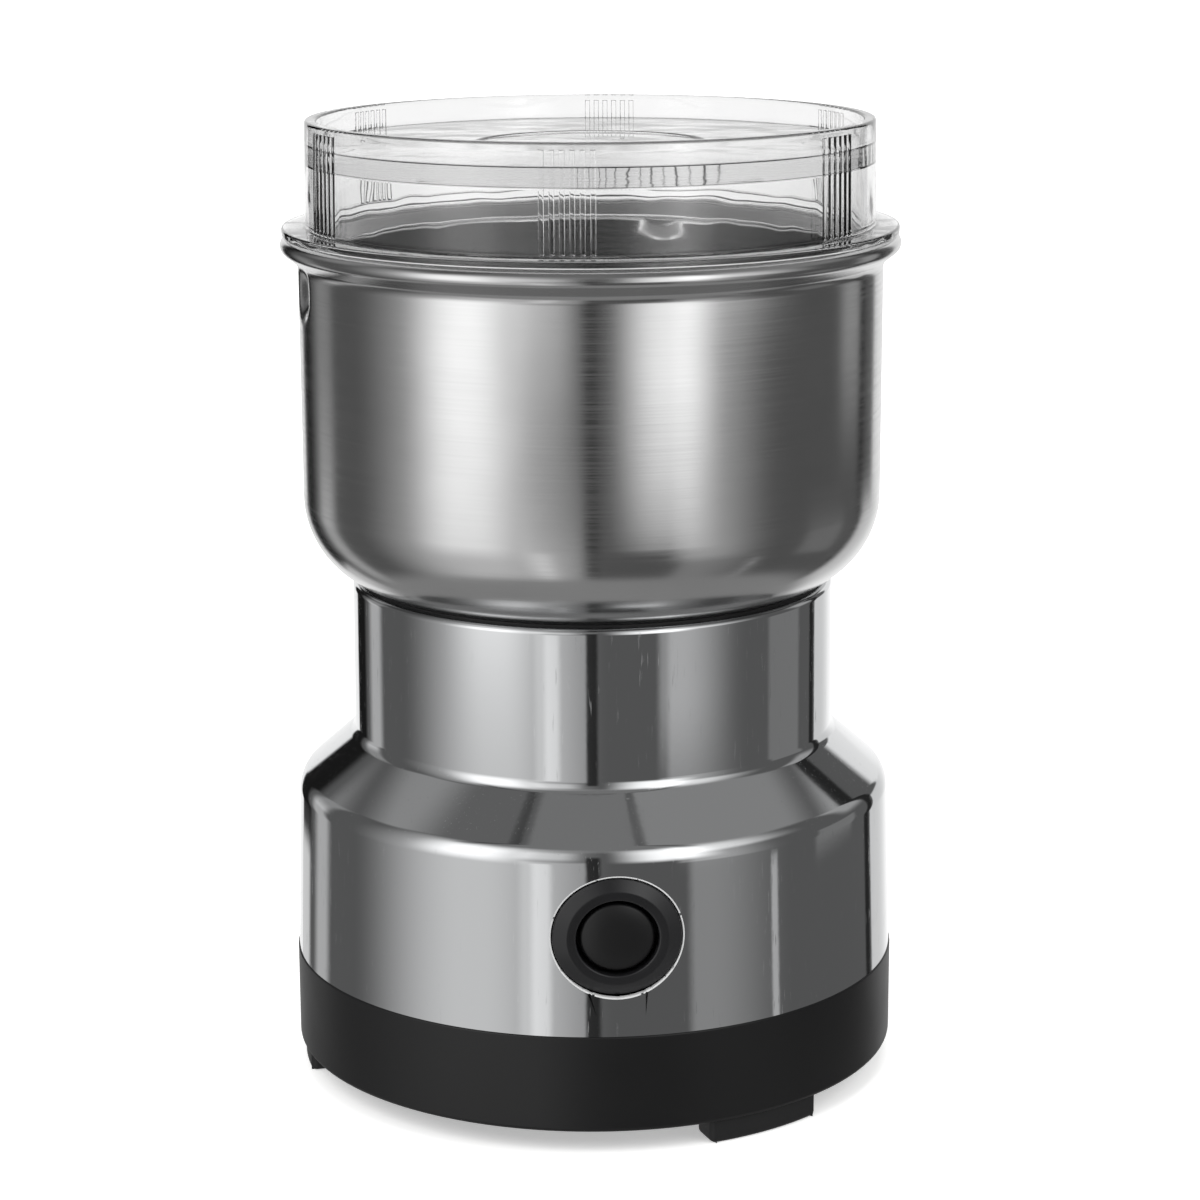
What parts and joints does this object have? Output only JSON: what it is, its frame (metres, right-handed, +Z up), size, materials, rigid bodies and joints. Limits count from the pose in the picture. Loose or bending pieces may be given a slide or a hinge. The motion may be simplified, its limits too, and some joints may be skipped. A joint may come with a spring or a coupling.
{
  "type": "electric coffee grinder",
  "caption": "Electric coffee grinder: rimmed steel bowl on a waisted chrome housing, clear lid, side push button, blades on a vertical motor shaft, black base on rubber feet.",
  "frame": {"origin": "on the motor shaft's axis, at the flat surface that the feet stand on", "axes": "+Z up along the motor shaft, -Y towards the push button, +X to the right seen from the button"},
  "size_m": [0.1048, 0.1048, 0.1645],
  "materials": {
    "clear_lid": "clear, smooth, injection moulded",
    "brushed_stainless": "satin, spun with fine lines round the axis",
    "chromed_steel": "mirror bright, slightly wavy sheet",
    "base_plastic": "satin black with a fine moulded grain",
    "button_plastic": "satin black, smooth",
    "rubber": "matt black",
    "inner_plastic": "matt dark grey, glass filled",
    "phenolic": "matt dark brown, moulded",
    "nylon": "natural nylon, satin",
    "zinc_steel": "zinc plated",
    "pressed_steel": "pressed sheet, satin",
    "ground_steel": "ground bar, bright",
    "blade_steel": "stamped stainless, brushed",
    "spring_steel": "drawn wire, bright",
    "core_steel": "stacked electrical steel, varnished",
    "bronze": "oil-filled sintered bronze, matt",
    "brass": "pressed sheet, bright",
    "bare_copper": "turned copper, bright",
    "enamelled_copper": "enamelled wire, varnished",
    "carbon": "pressed carbon, matt",
    "capacitor_case": "yellow moulded case",
    "lead_brown": "brown insulation, satin",
    "lead_blue": "blue insulation, satin"
  },
  "bodies": {
    "stand": {"base": "base_plastic", "foot_right": "rubber", "foot_rear": "rubber", "foot_left": "rubber", "base_screws": "zinc_steel", "cord_grommet": "rubber", "housing_shell": "chromed_steel", "motor_carrier": "inner_plastic", "bowl_gasket": "rubber", "bowl": "brushed_stainless", "bowl_screws": "zinc_steel", "shaft_seal": "rubber", "upper_bearing_bracket": "pressed_steel", "upper_bush": "bronze", "motor_dampers": "rubber", "motor_bolts": "zinc_steel", "stator_core": "core_steel", "field_coil_left": "enamelled_copper", "field_coil_right": "enamelled_copper", "lower_bearing_bracket": "phenolic", "lower_bush": "bronze", "brush_holder_front": "brass", "brush_holder_rear": "brass", "brush_cap_front": "brass", "brush_cap_rear": "brass", "brush_spring_front": "spring_steel", "brush_spring_rear": "spring_steel", "switch_bracket": "inner_plastic", "bracket_screws": "zinc_steel", "switch_body": "phenolic", "switch_terminals": "brass", "button_spring": "spring_steel", "button_bezel": "button_plastic", "terminal_block": "nylon", "capacitor": "capacitor_case", "thermal_fuse": "zinc_steel", "lead_live": "lead_brown", "lead_switched": "lead_blue", "lead_neutral": "lead_blue", "lead_brush": "lead_brown"},
    "rotor": {"shaft": "ground_steel", "armature_core": "core_steel", "armature_windings": "enamelled_copper", "commutator": "bare_copper", "cooling_fan": "nylon", "thrust_washer_upper": "nylon", "thrust_washer_lower": "nylon", "shaft_clip": "spring_steel", "blade_hub": "inner_plastic", "blade_lower": "blade_steel", "blade_upper": "blade_steel", "blade_washer": "zinc_steel", "blade_nut": "zinc_steel"},
    "button": {"button_cap": "button_plastic", "switch_plunger": "nylon"},
    "brush_front": {"carbon_brush_front": "carbon"},
    "brush_rear": {"carbon_brush_rear": "carbon"},
    "lid": {"lid": "clear_lid"}
  },
  "joints": [
    {"name": "lid_lift", "type": "slide", "parent": "stand", "child": "lid", "axis": [0, 0, 1], "range_m": [0, 0.06]},
    {"name": "rotor_spin", "type": "hinge", "parent": "stand", "child": "rotor", "pos_m": [0, 0, 0.05], "axis": [0, 0, 1], "continuous": true},
    {"name": "button_press", "type": "slide", "parent": "stand", "child": "button", "axis": [0, 1, 0], "range_m": [0, 0.0025], "stiffness_N_per_m": 400, "springref_m": -0.002, "deforming": ["button_spring"]},
    {"name": "brush_front_slide", "type": "slide", "parent": "stand", "child": "brush_front", "axis": [0, -1, 0], "range_m": [0, 0.004], "stiffness_N_per_m": 120, "springref_m": -0.006, "deforming": ["brush_spring_front"]},
    {"name": "brush_rear_slide", "type": "slide", "parent": "stand", "child": "brush_rear", "axis": [0, 1, 0], "range_m": [0, 0.004], "stiffness_N_per_m": 120, "springref_m": -0.006, "deforming": ["brush_spring_rear"]}
  ]
}
